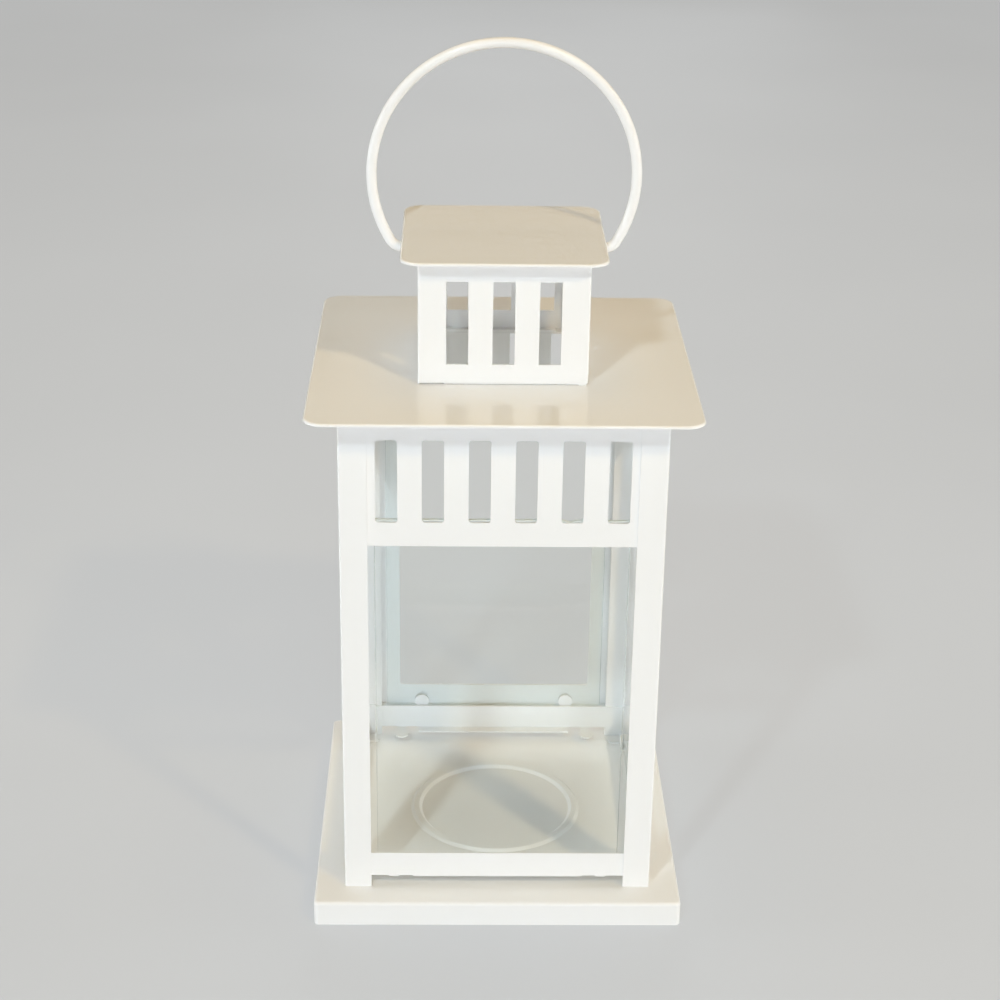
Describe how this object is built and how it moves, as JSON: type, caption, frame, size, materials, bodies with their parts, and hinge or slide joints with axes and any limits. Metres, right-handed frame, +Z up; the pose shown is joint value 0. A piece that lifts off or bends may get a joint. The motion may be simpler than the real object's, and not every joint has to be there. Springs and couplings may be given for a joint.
{
  "type": "candle lantern",
  "caption": "Square sheet-metal candle lantern with glass walls, pierced bands, a hinged glazed door with a turning catch, a slotted chimney and a swinging loop handle.",
  "frame": {"origin": "centre of the underside of the base, where the lantern stands", "axes": "+Z up; +Y towards the door at the back; +X to the right, seen from the glazed front"},
  "size_m": [0.155, 0.155, 0.3591],
  "materials": {
    "white_paint": "satin",
    "gloss_white_paint": "gloss",
    "clear_glass": "clear",
    "steel_pin": "satin"
  },
  "bodies": {
    "lantern_body": {"base_tray": "white_paint", "post_front_left": "white_paint", "post_front_right": "white_paint", "post_rear_left": "white_paint", "post_rear_right": "white_paint", "front_band": "white_paint", "front_rail": "white_paint", "front_glass": "clear_glass", "front_glass_clips": "white_paint", "right_band": "white_paint", "right_rail": "white_paint", "right_glass": "clear_glass", "right_glass_clips": "white_paint", "rear_band": "white_paint", "rear_rail": "white_paint", "left_band": "white_paint", "left_rail": "white_paint", "left_glass": "clear_glass", "left_glass_clips": "white_paint", "roof_plate": "gloss_white_paint", "cupola": "white_paint", "cap_plate": "gloss_white_paint", "post_leaf_lower": "white_paint", "hinge_pin_lower": "steel_pin", "post_leaf_upper": "white_paint", "hinge_pin_upper": "steel_pin", "catch_stud": "white_paint"},
    "carry_handle": {"handle": "white_paint"},
    "door": {"door_frame": "white_paint", "door_glass": "clear_glass", "door_leaf_lower": "white_paint", "door_leaf_upper": "white_paint"},
    "catch": {"door_catch": "white_paint"}
  },
  "joints": [
    {"name": "handle_swing", "type": "hinge", "parent": "lantern_body", "child": "carry_handle", "pos_m": [0, 0, 0.2744], "axis": [1, 0, 0], "range_deg": [-122, 122]},
    {"name": "door_hinge", "type": "hinge", "parent": "lantern_body", "child": "door", "pos_m": [0.0581, 0.0685, 0.09872], "axis": [0, 0, -1], "range_deg": [0, 180]},
    {"name": "catch_turn", "type": "hinge", "parent": "lantern_body", "child": "catch", "pos_m": [-0.06025, 0.0704, 0.09872], "axis": [0, -1, 0], "range_deg": [0, 90]}
  ]
}
